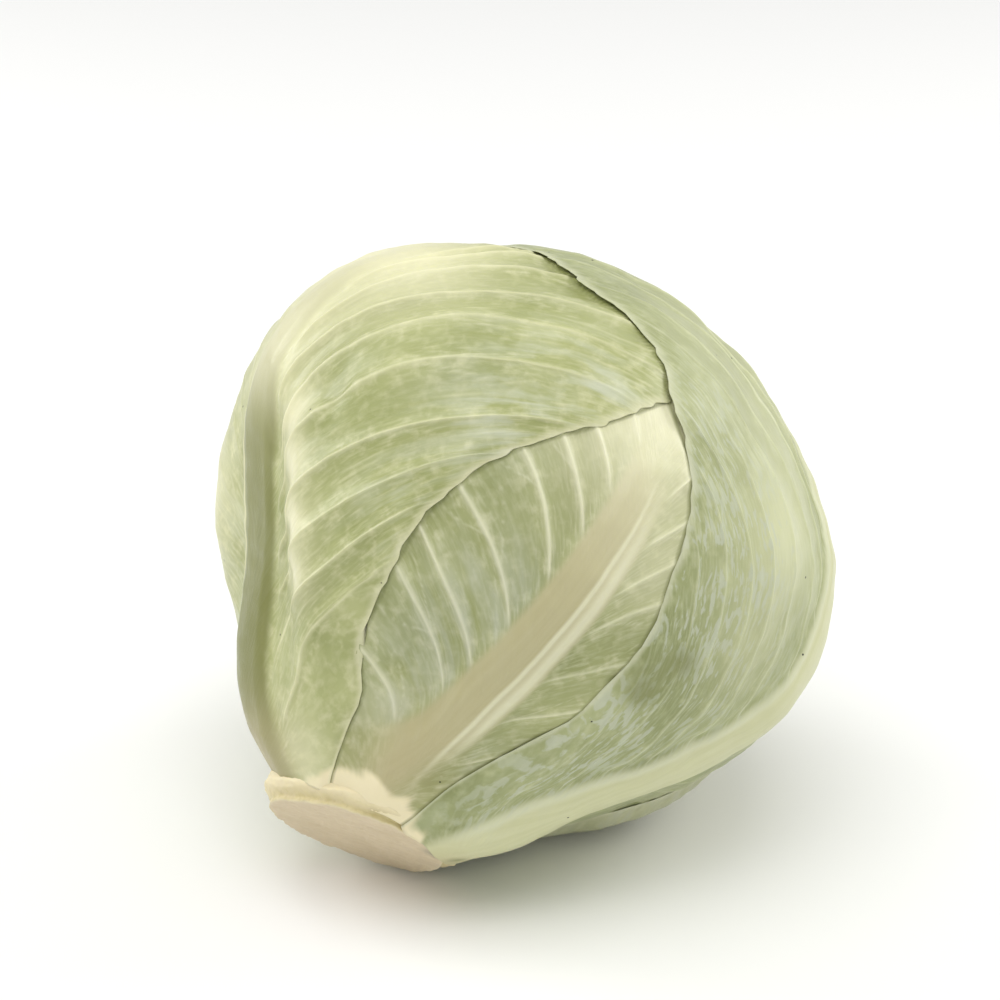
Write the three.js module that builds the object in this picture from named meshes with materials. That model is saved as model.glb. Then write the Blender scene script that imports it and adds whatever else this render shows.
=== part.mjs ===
// A head of white cabbage as cut: a packed heart, four wrapper leaves and the stub they grow from,
// lying on its side on a small flat spot. Millimetres, +Z up.
//
// A place on the head is a pair [fromStub, round]: degrees from the stub's end of the head's own axis,
// then degrees round that axis, with 0 facing the front. Each leaf is drawn in a flat pattern of its
// own, also in degrees, with x from the stub towards the tip and y across, and wrapped on the head.
import * as THREE from 'three';
import { mergeVertices } from 'three/addons/utils/BufferGeometryUtils.js';

// Form of the dressed head without its ribs: a ball with rings and swells that rise or sink
const form = {
  radius: 87.2,
  rings: [
    { fromStub: 0, high: 15.1, wide: 24 }, // leaf bases drawn down to the stub
    { fromStub: 46, high: -3.7, wide: 16 }, // lower side, close to a cone
    { fromStub: 102, high: 6.4, wide: 28 }, // broadest part
    { fromStub: 180, high: 1.7, wide: 40 }, // low dome of the crown
  ],
  swells: [
    { at: [58, -68], high: -7, wide: 16 }, // hollow that the left rib runs in
    { at: [76, -68], high: -7, wide: 16 },
    { at: [124, -73], high: 4.7, wide: 22 }, // shoulder above it
    { at: [90, 83], high: 3, wide: 20 }, // fuller flank along the right rib
    { at: [30, 102], high: -2.6, wide: 16 }, // drawn in beside the stub
    { at: [156, -30], high: -1.8, wide: 24 }, // flatter crown
    { at: [52, 150], high: 2.6, wide: 26 }, // belly that it lies on
  ],
};

// How the head lies: the place that faces straight down, and its distance from the head's middle
const lying = { at: [48.7, 145.6], drop: 85.1, turn: 53.1 };

// Leaf blades and how they stack
const leafLayer = {
  blade: 0.9, // thickness of a blade
  margin: 0.7, // and at its margin
  gap: 0.8, // air between one blade and the next
  depth: 1.6, // the innermost blade lies this far under the form
  rise: [3, 14], // a blade climbs over a lower one between these distances from its margin, degrees
  fade: [6, 13], // relief of a covered blade dies away between these distances, degrees
};

// Midribs, lateral veins and the grid of a blade
const veining = {
  leaveAngle: 24, // veins leave the midrib at this angle, then bend outwards
  reach: 0.45, // how far they keep to it, as a share of their length
  lead: 0.15, // how much nearer the tip they meet the margin, as a share of its length
  high: 0.9,
  wide: 0.2, // as a share of the space between two veins
  rowsPerVein: 2,
  ribColumns: 3, // columns of the grid on each half of the midrib
};

const stub = {
  cutDrop: 99, // from the head's middle to the cut face, along the axis
  lean: { towards: 78, angle: 7.6 }, // the knife's slant
  radius: 26,
  waist: 25,
  waistDrop: 92.5,
  topDrop: 83.3,
  bevel: 1.2,
  sides: 40,
};

const heart = { gap: 0.9, foot: 82.6, floorGap: 2.6, detail: 7 };

// Wrapper leaves from the inside out. The margins run from the base to the tip.
const leaves = [
  {
    name: 'leaf_front',
    colour: 0xb4b988,
    centre: [80, 12],
    rib: [[16.5, -6], [26, 3], [38, 9], [60, 13], [90, 15], [118, 14]],
    left: [[16.5, -50], [30, -50], [50, -45], [75, -40], [100, -30], [118, -12]],
    right: [[16.5, 42], [30, 50], [50, 55], [75, 52], [100, 42], [118, 28]],
    tip: [128, 12],
    ribHalf: [8, 4],
    ribHigh: [3.2, 0.8],
    veins: 10,
    columns: 7,
    wave: 0,
    lifts: [],
  },
  {
    name: 'leaf_left',
    colour: 0xc3c79a,
    centre: [85, -75],
    rib: [[16.5, -88], [33, -80], [50, -73], [65, -70], [80, -70], [95, -68], [110, -64], [126, -58], [142, -48]],
    left: [[16.5, -128], [30, -136], [50, -146], [75, -153], [100, -160], [125, -170], [142, -175], [156, -140]],
    right: [[16.5, -29], [26, -24], [37, -20], [45, -24], [53, -22], [67, -19], [80, -14], [94, -4], [104, 6],
      [113, 13], [124, 20], [136, 22], [150, 5]],
    tip: [162, -60],
    ribHalf: [8, 2.5],
    ribHigh: [4, 0.8],
    veins: 13,
    columns: 12,
    wave: 0.4,
    lifts: [],
  },
  {
    name: 'leaf_right',
    colour: 0xc7caa8,
    centre: [95, 77],
    rib: [[16.5, 68], [28, 61], [42, 62], [60, 67], [80, 73], [100, 75], [125, 72], [150, 72], [168, 85]],
    left: [[16.5, 20], [28, 22], [39, 27], [47, 31], [57, 32], [72, 31], [86, 27], [101, 22], [113, 13],
      [120, 8], [130, -9], [136, -20], [144, -41], [147, -70]],
    right: [[16.5, 128], [30, 128], [50, 127], [75, 135], [100, 150], [125, 175], [140, -150]],
    tip: [150, -105],
    ribHalf: [9.5, 2.5],
    ribHigh: [4.2, 1],
    veins: 13,
    columns: 12,
    wave: 0.4,
    lifts: [{ side: 'left', from: 0.36, to: 0.62, high: 0.9, waves: 2 }],
  },
  {
    name: 'leaf_rear',
    colour: 0xcdcfae,
    centre: [80, -160],
    rib: [[16.5, -160], [40, -162], [70, -160], [100, -158], [125, -160]],
    left: [[16.5, 120], [28, 111], [40, 103], [52, 99], [65, 97], [80, 98], [92, 103], [105, 116],
      [118, 136], [132, 165]],
    right: [[16.5, -120], [25, -120], [38, -118], [52, -115], [65, -113], [80, -112], [90, -113], [100, -116],
      [112, -123], [125, -136]],
    tip: [140, -165],
    ribHalf: [6, 2],
    ribHigh: [4.2, 0.5],
    veins: 11,
    columns: 11,
    wave: 1.1,
    lifts: [
      { side: 'right', from: 0.2, to: 0.75, high: 1.8, waves: 3 },
      { side: 'left', from: 0.03, to: 0.55, high: 3.6, waves: 5 },
    ],
  },
];

const radians = THREE.MathUtils.degToRad;
const degrees = THREE.MathUtils.radToDeg;
const mix = THREE.MathUtils.lerp;
const ease = (value, start, end) => THREE.MathUtils.smoothstep(value, start, end);
const bump = (distance, wide) => Math.exp(-((distance / wide) ** 2));

function headDirection([fromStub, round]) {
  const [a, b] = [radians(fromStub), radians(round)];
  return new THREE.Vector3(Math.sin(a) * Math.cos(b), Math.sin(a) * Math.sin(b), -Math.cos(a));
}

const downward = headDirection(lying.at);

function formRadius(direction) {
  const fromStub = degrees(Math.acos(THREE.MathUtils.clamp(-direction.z, -1, 1)));
  let radius = form.radius;
  for (const ring of form.rings) radius += ring.high * bump(fromStub - ring.fromStub, ring.wide);
  for (const swell of form.swells) {
    radius += swell.high * bump(degrees(direction.angleTo(headDirection(swell.at))), swell.wide);
  }
  return radius;
}

// Distance to the surface the head lies on, along a direction from its middle
function floorRadius(direction, above) {
  return (lying.drop - above) / Math.max(direction.dot(downward), 0.2);
}

// Inside of the innermost blade
function packedRadius(direction) {
  return formRadius(direction) - leafLayer.depth;
}

// Flat pattern round a centre on the head: distance and bearing from the centre are kept
class FlatPattern {
  constructor([fromStub, round]) {
    const [a, b] = [radians(fromStub), radians(round)];
    this.along = new THREE.Vector3(Math.cos(a) * Math.cos(b), Math.cos(a) * Math.sin(b), Math.sin(a));
    this.across = new THREE.Vector3(-Math.sin(b), Math.cos(b), 0);
    this.out = headDirection([fromStub, round]);
  }

  lay(direction) {
    const away = degrees(direction.angleTo(this.out));
    const flat = new THREE.Vector2(direction.dot(this.along), direction.dot(this.across));
    return flat.setLength(away);
  }

  wrap(point) {
    const away = radians(point.length());
    const side = away > 1e-6 ? Math.sin(away) / point.length() : radians(1);
    return new THREE.Vector3()
      .addScaledVector(this.along, point.x * side)
      .addScaledVector(this.across, point.y * side)
      .addScaledVector(this.out, Math.cos(away));
  }
}

// One side's margin, with its waves, as a function of the station from base (0) to tip (1)
function marginPoint(leaf, side, station) {
  const curve = leaf.curves[side];
  const point = curve.getPointAt(station);
  const tangent = curve.getTangentAt(station);
  const outward = side === 'right' ? 1 : -1;
  const swing = 0.6 * Math.sin(10 * Math.PI * station) + 0.4 * Math.sin(18 * Math.PI * station + 1);
  const wave = leaf.wave * swing * ease(station, 0, 0.15) * (1 - ease(station, 0.85, 1)) * outward;
  return point.add(new THREE.Vector2(-tangent.y, tangent.x).multiplyScalar(wave));
}

// How far the base's edge bows from a straight line to follow the stub's outline round
function baseBow(leaf, side) {
  const [fromStub, ribRound] = leaf.rib[0];
  const halfTurn = (leaf[side][0][1] - ribRound) / 2;
  const turn = halfTurn - 180 * Math.round(halfTurn / 180);
  const corner = headDirection([fromStub / Math.cos(radians(turn)), ribRound + turn]);
  const middle = leaf.curves.rib.getPointAt(0).add(leaf.curves[side].getPointAt(0)).multiplyScalar(0.5);
  return leaf.pattern.lay(corner).sub(middle);
}

function prepareLeaf(leaf) {
  leaf.pattern = new FlatPattern(leaf.centre);
  const curve = (places) => new THREE.SplineCurve(places.map((place) => leaf.pattern.lay(headDirection(place))));
  leaf.curves = {
    rib: curve(leaf.rib),
    left: curve([...leaf.left, leaf.tip]),
    right: curve([...leaf.right, leaf.tip]),
  };
  leaf.ribLine = leaf.curves.rib.getSpacedPoints(60);
  leaf.baseBow = { left: baseBow(leaf, 'left'), right: baseBow(leaf, 'right') };
  const stations = Array.from({ length: 61 }, (_, index) => index / 60);
  leaf.outline = [
    ...stations.map((station) => marginPoint(leaf, 'left', station)),
    ...stations.slice(0, -1).reverse().map((station) => marginPoint(leaf, 'right', station)),
  ];
}

function distanceToSegment(point, start, end) {
  const run = end.clone().sub(start);
  const share = point.clone().sub(start).dot(run) / Math.max(run.lengthSq(), 1e-12);
  const held = THREE.MathUtils.clamp(share, 0, 1);
  return { distance: start.clone().addScaledVector(run, held).distanceTo(point), share: held };
}

// Distance from a leaf's outline in its flat pattern, negative on the leaf
function outsideLeaf(direction, leaf) {
  const point = leaf.pattern.lay(direction);
  let nearest = Infinity;
  let inside = false;
  leaf.outline.forEach((start, index) => {
    const end = leaf.outline[(index + 1) % leaf.outline.length];
    nearest = Math.min(nearest, distanceToSegment(point, start, end).distance);
    if (start.y > point.y !== end.y > point.y) {
      const crossing = start.x + ((end.x - start.x) * (point.y - start.y)) / (end.y - start.y);
      if (point.x < crossing) inside = !inside;
    }
  });
  return inside ? -nearest : nearest;
}

// Radius of a blade's inner face: the packed heart, plus one layer over each lower leaf
function innerRadius(direction, lowerLeaves) {
  const layer = leafLayer.blade + leafLayer.gap;
  return lowerLeaves.reduce(
    (radius, lower) => radius + layer * (1 - ease(outsideLeaf(direction, lower), ...leafLayer.rise)),
    packedRadius(direction),
  );
}

function ribRelief(point, leaf) {
  let nearest = { distance: Infinity, station: 0 };
  const steps = leaf.ribLine.length - 1;
  for (let index = 0; index < steps; index += 1) {
    const { distance, share } = distanceToSegment(point, leaf.ribLine[index], leaf.ribLine[index + 1]);
    if (distance < nearest.distance) nearest = { distance, station: (index + share) / steps };
  }
  const half = mix(...leaf.ribHalf, nearest.station);
  const high = mix(...leaf.ribHigh, nearest.station) * mix(0.35, 1, ease(nearest.station, 0, 0.08));
  return high * (1 - ease(nearest.distance / half, 0.2, 1.2));
}

function veinRelief(leaf, station, across) {
  const turn = station * leaf.veins;
  const nearVein = bump(turn - Math.round(turn), veining.wide);
  const ends = ease(station, 0.04, 0.12) * (1 - ease(station, 0.9, 1));
  return veining.high * nearVein * ends * (1 - ease(Math.abs(across), 0.6, 1));
}

function marginLift(leaf, station, across) {
  return leaf.lifts.reduce((sum, lift) => {
    const onSide = lift.side === 'right' ? across > 0 : across < 0;
    if (!onSide) return sum;
    const middle = (lift.from + lift.to) / 2;
    const window = ease(station, lift.from, middle) * (1 - ease(station, middle, lift.to));
    const length = Math.min(1, 4 * window);
    const wave = 0.8 + 0.2 * Math.cos(2 * Math.PI * lift.waves * station);
    return sum + lift.high * length * wave * ease(Math.abs(across), 0.72, 1);
  }, 0);
}

// A point of the flat pattern on the curve that a lateral vein follows, from the midrib to the margin
function bladePoint(leaf, station, across) {
  const side = across < 0 ? 'left' : 'right';
  const share = Math.abs(across);
  const root = leaf.curves.rib.getPointAt(station);
  const along = leaf.curves.rib.getTangentAt(station);
  const forward = Math.min(1, station + veining.lead * Math.sin(Math.PI * station));
  const end = marginPoint(leaf, side, forward);
  const outward = new THREE.Vector2(-along.y, along.x).multiplyScalar(side === 'right' ? 1 : -1);
  const length = end.distanceTo(root);
  const angle = radians(veining.leaveAngle);
  const bent = root.clone()
    .addScaledVector(along, veining.reach * length * Math.cos(angle))
    .addScaledVector(outward, veining.reach * length * Math.sin(angle));
  const bending = ease(station, 0, 0.15) * (1 - ease(station, 0.8, 1));
  const control = root.clone().add(end).multiplyScalar(0.5)
    .addScaledVector(leaf.baseBow[side], 1 - ease(station, 0, 0.15))
    .lerp(bent, bending);
  return new THREE.QuadraticBezierCurve(root, control, end).getPoint(share);
}

// Shares of the way to the margin where the grid has its columns, closer together on the midrib
function columnShare(leaf, station, column) {
  const { ribColumns } = veining;
  const foot = 0.12 + 0.1 * Math.sin(Math.PI * station);
  const count = Math.abs(column);
  const share = count <= ribColumns
    ? (foot * count) / ribColumns
    : foot + ((1 - foot) * (count - ribColumns)) / leaf.columns;
  return Math.sign(column) * share;
}

function leafGeometry(leaf, order) {
  const { ribColumns } = veining;
  const lower = leaves.slice(0, order);
  const upper = leaves.slice(order + 1);
  const rows = leaf.veins * veining.rowsPerVein;
  const half = leaf.columns + ribColumns;
  const width = 2 * half + 1;
  const outerFace = [];
  const innerFace = [];
  for (let row = 0; row <= rows; row += 1) {
    const station = row / rows;
    for (let column = -half; column <= half; column += 1) {
      const across = columnShare(leaf, station, column);
      const point = bladePoint(leaf, station, row === rows ? Math.abs(across) : across);
      const direction = leaf.pattern.wrap(point);
      const open = upper.reduce(
        (share, cover) => share * ease(outsideLeaf(direction, cover), ...leafLayer.fade), 1);
      const relief = open * (ribRelief(point, leaf) + veinRelief(leaf, station, across));
      const blade = mix(leafLayer.blade, leafLayer.margin, ease(Math.abs(across), 0.9, 1));
      const layersAbove = upper.length * (leafLayer.blade + leafLayer.gap);
      const inner = innerRadius(direction, lower) + marginLift(leaf, station, across);
      const outerFloor = floorRadius(direction, layersAbove);
      const innerFloor = floorRadius(direction, layersAbove + leafLayer.blade);
      outerFace.push(direction.clone().multiplyScalar(Math.min(inner + blade + relief, outerFloor)));
      innerFace.push(direction.clone().multiplyScalar(Math.min(inner, innerFloor)));
    }
  }
  // The two halves of the last row are one line, from the end of the midrib to the tip. Each cell is
  // split along its shorter diagonal, alike on both faces.
  const at = (row, column) => row * width + half + (row === rows ? Math.abs(column) : column);
  const count = outerFace.length;
  const faces = [];
  for (let row = 0; row < rows; row += 1) {
    for (let column = -half; column < half; column += 1) {
      const [a, b] = [at(row, column), at(row, column + 1)];
      const [c, d] = [at(row + 1, column + 1), at(row + 1, column)];
      const rising = outerFace[a].distanceTo(outerFace[c]) < outerFace[b].distanceTo(outerFace[d]);
      const pair = rising ? [[a, b, c], [a, c, d]] : [[a, b, d], [b, c, d]];
      for (const [p, q, r] of pair) faces.push(p, q, r, count + p, count + r, count + q);
    }
  }
  const rim = [];
  for (let column = -half; column < half; column += 1) rim.push(at(0, column));
  for (let row = 0; row < rows; row += 1) rim.push(at(row, half));
  for (let row = rows; row > 0; row -= 1) rim.push(at(row, -half));
  rim.forEach((near, index) => {
    const far = rim[(index + 1) % rim.length];
    faces.push(far, near, count + near, far, count + near, count + far);
  });
  return closedGeometry([...outerFace, ...innerFace], faces);
}

function closedGeometry(points, faces) {
  const geometry = new THREE.BufferGeometry().setFromPoints(points);
  geometry.setIndex(faces);
  return geometry;
}

function heartGeometry() {
  const ball = new THREE.IcosahedronGeometry(1, heart.detail);
  ball.deleteAttribute('normal');
  ball.deleteAttribute('uv');
  const geometry = mergeVertices(ball, 1e-4);
  const places = geometry.attributes.position;
  for (let index = 0; index < places.count; index += 1) {
    const direction = new THREE.Vector3().fromBufferAttribute(places, index).normalize();
    const round = Math.min(packedRadius(direction) - heart.gap, floorRadius(direction, heart.floorGap));
    const foot = direction.z < -0.5 ? heart.foot / -direction.z : Infinity;
    direction.multiplyScalar(Math.min(round, foot));
    places.setXYZ(index, direction.x, direction.y, direction.z);
  }
  return geometry;
}

// Height of the slanted cut at a place across the stub
function cutHeight(x, y) {
  const towards = radians(stub.lean.towards);
  return -stub.cutDrop + Math.tan(radians(stub.lean.angle)) * (x * Math.cos(towards) + y * Math.sin(towards));
}

function stubGeometry() {
  const rough = (turn) => 1 + 0.025 * Math.sin(3 * turn + 1) + 0.015 * Math.sin(5 * turn + 2.2);
  const profile = [
    { radius: 0.55 * stub.radius, height: cutHeight, uneven: 1 },
    { radius: stub.radius - stub.bevel, height: cutHeight, uneven: 1 },
    { radius: stub.radius, height: (x, y) => cutHeight(x, y) + stub.bevel, uneven: 1 },
    { radius: stub.waist, height: () => -stub.waistDrop, uneven: 0.2 },
    { radius: stub.waist, height: () => -(stub.waistDrop + stub.topDrop) / 2, uneven: 0.1 },
    { radius: stub.waist - stub.bevel, height: () => -stub.topDrop, uneven: 0 },
  ];
  const points = [new THREE.Vector3(0, 0, cutHeight(0, 0))];
  for (const ring of profile) {
    for (let side = 0; side < stub.sides; side += 1) {
      const turn = (2 * Math.PI * side) / stub.sides;
      const radius = ring.radius * mix(1, rough(turn), ring.uneven);
      const [x, y] = [radius * Math.cos(turn), radius * Math.sin(turn)];
      points.push(new THREE.Vector3(x, y, ring.height(x, y)));
    }
  }
  points.push(new THREE.Vector3(0, 0, -stub.topDrop));
  const at = (ring, side) => 1 + ring * stub.sides + (side % stub.sides);
  const faces = [];
  for (let side = 0; side < stub.sides; side += 1) {
    faces.push(0, at(0, side + 1), at(0, side));
    for (let ring = 0; ring < profile.length - 1; ring += 1) {
      const [a, b] = [at(ring, side), at(ring, side + 1)];
      const [c, d] = [at(ring + 1, side + 1), at(ring + 1, side)];
      faces.push(a, b, c, a, c, d);
    }
    faces.push(at(profile.length - 1, side), at(profile.length - 1, side + 1), points.length - 1);
  }
  return closedGeometry(points, faces);
}

function addPiece(parent, name, geometry, colour, roughness) {
  const material = new THREE.MeshStandardMaterial({ color: colour, roughness, metalness: 0 });
  const mesh = new THREE.Mesh(geometry, material);
  mesh.name = name;
  parent.add(mesh);
}

leaves.forEach(prepareLeaf);

// The head about its own middle, its axis along Z with the stub below
const upright = new THREE.Group();
addPiece(upright, 'stem', stubGeometry(), 0xcbbc9f, 0.75);
addPiece(upright, 'heart', heartGeometry(), 0xe4e3bd, 0.5);
leaves.forEach((leaf, order) => {
  addPiece(upright, leaf.name, leafGeometry(leaf, order), leaf.colour, 0.42);
});

// Tipped over until its flat spot faces down, then turned to the front
const turned = (axis, angle) => new THREE.Quaternion().setFromAxisAngle(axis, radians(angle));
upright.quaternion
  .copy(turned(new THREE.Vector3(0, 0, 1), lying.turn))
  .multiply(turned(new THREE.Vector3(0, 1, 0), lying.at[0]))
  .multiply(turned(new THREE.Vector3(0, 0, 1), -lying.at[1]));
upright.position.z = lying.drop;

// The origin is on the surface it lies on, under the middle of its outline from above
const cabbage = new THREE.Group();
cabbage.add(upright);
cabbage.updateMatrixWorld(true);
const middle = new THREE.Box3().setFromObject(cabbage, true).getCenter(new THREE.Vector3());
upright.position.x -= middle.x;
upright.position.y -= middle.y;

export default cabbage;
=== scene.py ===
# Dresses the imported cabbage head: fine waxy leaves over the heart, a cut stub, floor, light and camera.
import bpy
import numpy as np
from math import radians, pi
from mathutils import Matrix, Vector


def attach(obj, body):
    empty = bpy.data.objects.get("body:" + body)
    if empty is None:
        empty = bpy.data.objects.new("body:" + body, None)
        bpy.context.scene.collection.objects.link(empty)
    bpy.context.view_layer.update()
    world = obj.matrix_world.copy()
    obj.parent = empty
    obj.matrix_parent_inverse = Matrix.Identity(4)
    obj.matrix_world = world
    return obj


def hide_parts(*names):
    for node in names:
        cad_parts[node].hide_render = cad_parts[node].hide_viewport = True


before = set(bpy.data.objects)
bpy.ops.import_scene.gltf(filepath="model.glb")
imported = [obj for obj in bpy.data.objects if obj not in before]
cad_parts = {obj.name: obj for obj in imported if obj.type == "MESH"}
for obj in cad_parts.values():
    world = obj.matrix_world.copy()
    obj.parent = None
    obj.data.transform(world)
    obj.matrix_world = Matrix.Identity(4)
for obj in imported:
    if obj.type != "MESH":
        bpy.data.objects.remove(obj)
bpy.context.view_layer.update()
print("frame loaded:", sorted(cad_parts))

millimetre = 0.001
runUnit = 100  # the run over a leaf, its UV map, counts 1 for each 100 mm

# Form of the dressed head: a ball with rings and swells, in millimetres and degrees.
# A place is [fromStub, round]: degrees from the stub's end of the axis, then degrees round it.
headForm = {
    "radius": 87.2,
    "rings": [(0, 15.1, 24), (46, -3.7, 16), (102, 6.4, 28), (180, 1.7, 40)],  # fromStub, high, wide
    "swells": [
        ((58, -68), -7.0, 16),  # hollow that the left rib runs in
        ((76, -68), -7.0, 16),
        ((124, -73), 4.7, 22),  # shoulder above it
        ((90, 83), 3.0, 20),  # fuller flank along the right rib
        ((30, 102), -2.6, 16),  # drawn in beside the stub
        ((156, -30), -1.8, 24),  # flatter crown
        ((52, 150), 2.6, 26),  # belly that it lies on
    ],
}

# How the head lies: the place that faces down, its turn, and the head's middle in the frame
lying = {"at": (48.7, 145.6), "turn": 53.1, "middle": (-3.659, -2.790, 85.1)}

# Leaf blades and how they stack, in millimetres; distances from a margin in degrees
layers = {
    "blade": 0.9,
    "margin": 0.42,  # blade thickness at its lip
    "gap": 0.8,
    "depth": 1.6,  # the innermost blade lies this far under the form
    "rise": (1.5, 14),  # a blade climbs over a lower one between these distances
    "ribFade": (3, 11),  # a covered midrib dies away
    "veinFade": (-0.6, 1.2),  # covered veins die away under the upper lip
    "droop": 0.74,  # the lip comes down on the leaf below
    "deepest": (1, 0.55),  # a hollow deeper than the first of these runs out over the second
    "veinPitch": 11,  # a usual distance between two veins, for the finish
}

# Lateral veins. Distances are shares of the gap between two veins, or of the way to the margin
veinForm = {
    "leaveAngle": 24,
    "reach": 0.45,
    "lead": 0.15,
    "sway": 0.05,
    "strength": (0.75, 1.15),
    "skirt": (0.3, 2.6),  # share of a ridge that is a wider bell curve, and how many times wider
    "forks": ([0.3, 0.16, 0.36], [0.75, 0.3, 0.52]),  # least and most: start, reach, distance out
    "forkHalf": 0.5,  # of the vein's half width
    "forkHigh": 0.16,  # mm
    "sagDepths": (0.6, 1.2),
}

# Lips: shares of the way to the margin where they droop, thin and round off, by a bevel in mm; notches as
# shares of a blade
lipForm = {"droop": 0.9, "thin": 0.94, "round": 0.985, "bevel": 0.2, "notch": 0.008,
           "notchWaves": (17, 29, 43, 61)}

# Midribs: flare and fade by station, and the flat and round parts of the profile by share of the half width
ribForm = {"flare": (0, 0.22), "foot": (0.35, 0.08), "fade": (0.7, 1), "flatTop": (0.5, 1.15), "flat": 0.7}

# Swells of a blade between its veins: height and length in mm
bladeSwells = {"broad": (0.3, 26), "fine": (0.1, 9)}


def smooth(start, end, x):
    # 0 before start, 1 after end, and 3t^2 - 2t^3 of the way between them
    t = np.clip((x - start) / (end - start), 0, 1)
    return t * t * (3 - 2 * t)


def window(start, full, ebb, end, x):
    # rises to 1 between start and full, and falls back to 0 between ebb and end
    return smooth(start, full, x) * (1 - smooth(ebb, end, x))


def between(ends, share):
    # straight line from the first of two values to the second
    return ends[0] + (ends[1] - ends[0]) * share


def bump(x, wide):
    # bell curve: e to the minus (x / wide) squared
    return np.exp(-np.square(x / wide))


def headDirection(place):
    # unit vector at an angle from the stub and an angle round the axis, with the stub towards -Z
    fromStub, around = np.radians(np.moveaxis(np.asarray(place, float), -1, 0))
    out = np.sin(fromStub)
    return np.stack([out * np.cos(around), out * np.sin(around), -np.cos(fromStub)], -1)


def degreesFromStub(directions):
    # arc cosine of the share that points towards the stub
    return np.degrees(np.arccos(np.clip(-directions[..., 2], -1, 1)))


def turnZ(angle):
    # turn about Z by an angle in degrees
    c, s = np.cos(radians(angle)), np.sin(radians(angle))
    return np.array([[c, -s, 0], [s, c, 0], [0, 0, 1]])


def turnY(angle):
    # turn about Y by an angle in degrees
    c, s = np.cos(radians(angle)), np.sin(radians(angle))
    return np.array([[c, 0, s], [0, 1, 0], [-s, 0, c]])


headTurn = turnZ(lying["turn"]) @ turnY(lying["at"][0]) @ turnZ(-lying["at"][1])
headMiddle = np.array(lying["middle"])
downward = headDirection(lying["at"])


def angleFrom(directions, place):
    # degrees between directions and a place, by the arc cosine of their dot product
    return np.degrees(np.arccos(np.clip(directions @ headDirection(place), -1, 1)))


def formRadius(directions):
    # the ball's radius plus a bell curve of the angle for each ring and swell
    fromStub = degreesFromStub(directions)
    radius = np.full(fromStub.shape, float(headForm["radius"]))
    for middle, high, wide in headForm["rings"]:
        radius += high * bump(fromStub - middle, wide)
    for place, high, wide in headForm["swells"]:
        radius += high * bump(angleFrom(directions, place), wide)
    return radius


def floorRadius(directions, above):
    # distance to the plane the head lies on, along each direction from its middle
    return (headMiddle[2] - above) / np.maximum(directions @ downward, 0.2)


def ripple(points, size, seed, waves=16):
    # gentle noise: the mean of plane waves of seeded directions and phases, about `size` mm long
    random = np.random.default_rng(seed)
    total = np.zeros(points.shape[:-1])
    for _ in range(waves):
        course = random.normal(size=3)
        course *= 2 * pi / (np.linalg.norm(course) * size * random.uniform(0.7, 1.6))
        total += np.sin(points @ course + random.uniform(0, 2 * pi))
    return total / np.sqrt(waves / 2)


def flatFrame(place):
    # rows: away from the stub, across towards greater round, and out of the head, at a place
    a, b = np.radians(place)
    return np.array([
        [np.cos(a) * np.cos(b), np.cos(a) * np.sin(b), np.sin(a)],
        [-np.sin(b), np.cos(b), 0],
        [np.sin(a) * np.cos(b), np.sin(a) * np.sin(b), -np.cos(a)],
    ])


def layFlat(directions, leaf):
    # flat pattern: distance and bearing from the leaf's centre are kept, in degrees
    local = directions @ leaf["frame"].T
    away = np.degrees(np.arccos(np.clip(local[..., 2], -1, 1)))
    length = np.maximum(np.hypot(local[..., 0], local[..., 1]), 1e-9)
    return local[..., :2] * (away / length)[..., None]


def wrapRound(flat, leaf):
    # the flat pattern's points back on the head, as directions
    away = np.hypot(flat[..., 0], flat[..., 1])
    side = np.where(away > 1e-6, np.sin(np.radians(away)) / np.maximum(away, 1e-6), pi / 180)
    local = np.stack([flat[..., 0] * side, flat[..., 1] * side, np.cos(np.radians(away))], -1)
    return local @ leaf["frame"]


def curvePoints(knots, share):
    # Catmull-Rom curve through the knots, taken at shares of its length
    knots = np.asarray(knots, float)
    last = len(knots) - 1
    t = np.linspace(0, last, 100 * last + 1)
    i = np.minimum(t.astype(int), last - 1)
    w = (t - i)[:, None]
    p0, p1 = knots[np.maximum(i - 1, 0)], knots[i]
    p2, p3 = knots[i + 1], knots[np.minimum(i + 2, last)]
    v0, v1 = (p2 - p0) / 2, (p3 - p1) / 2
    line = (2 * p1 - 2 * p2 + v0 + v1) * w**3 + (3 * p2 - 3 * p1 - 2 * v0 - v1) * w**2 + v0 * w + p1
    run = np.concatenate([[0], np.cumsum(np.linalg.norm(np.diff(line, axis=0), axis=1))])
    return np.stack([np.interp(share, run / run[-1], line[:, axis]) for axis in range(line.shape[1])], -1)


def curveTangents(knots, share):
    # unit tangents by a small step along the curve
    step = 0.004
    ahead = curvePoints(knots, np.minimum(share + step, 1)) - curvePoints(knots, np.maximum(share - step, 0))
    return ahead / np.linalg.norm(ahead, axis=-1, keepdims=True)


def nearestOnLine(points, line):
    # distance from points to a polyline and the share of its length at the nearest spot
    best = np.full(points.shape[:-1], 1e9)
    share = np.zeros(points.shape[:-1])
    for index in range(len(line) - 1):
        run = line[index + 1] - line[index]
        held = np.clip(((points - line[index]) @ run) / max(run @ run, 1e-12), 0, 1)
        away = np.linalg.norm(points - line[index] - held[..., None] * run, axis=-1)
        nearer = away < best
        best = np.where(nearer, away, best)
        share = np.where(nearer, (index + held) / (len(line) - 1), share)
    return best, share


def alongPlaces(flat, leaf, places):
    # distance in degrees from a curve through places in the flat pattern, and the share of the way along it
    return nearestOnLine(flat, curvePoints(layFlat(headDirection(places), leaf), np.linspace(0, 1, 41)))


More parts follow.
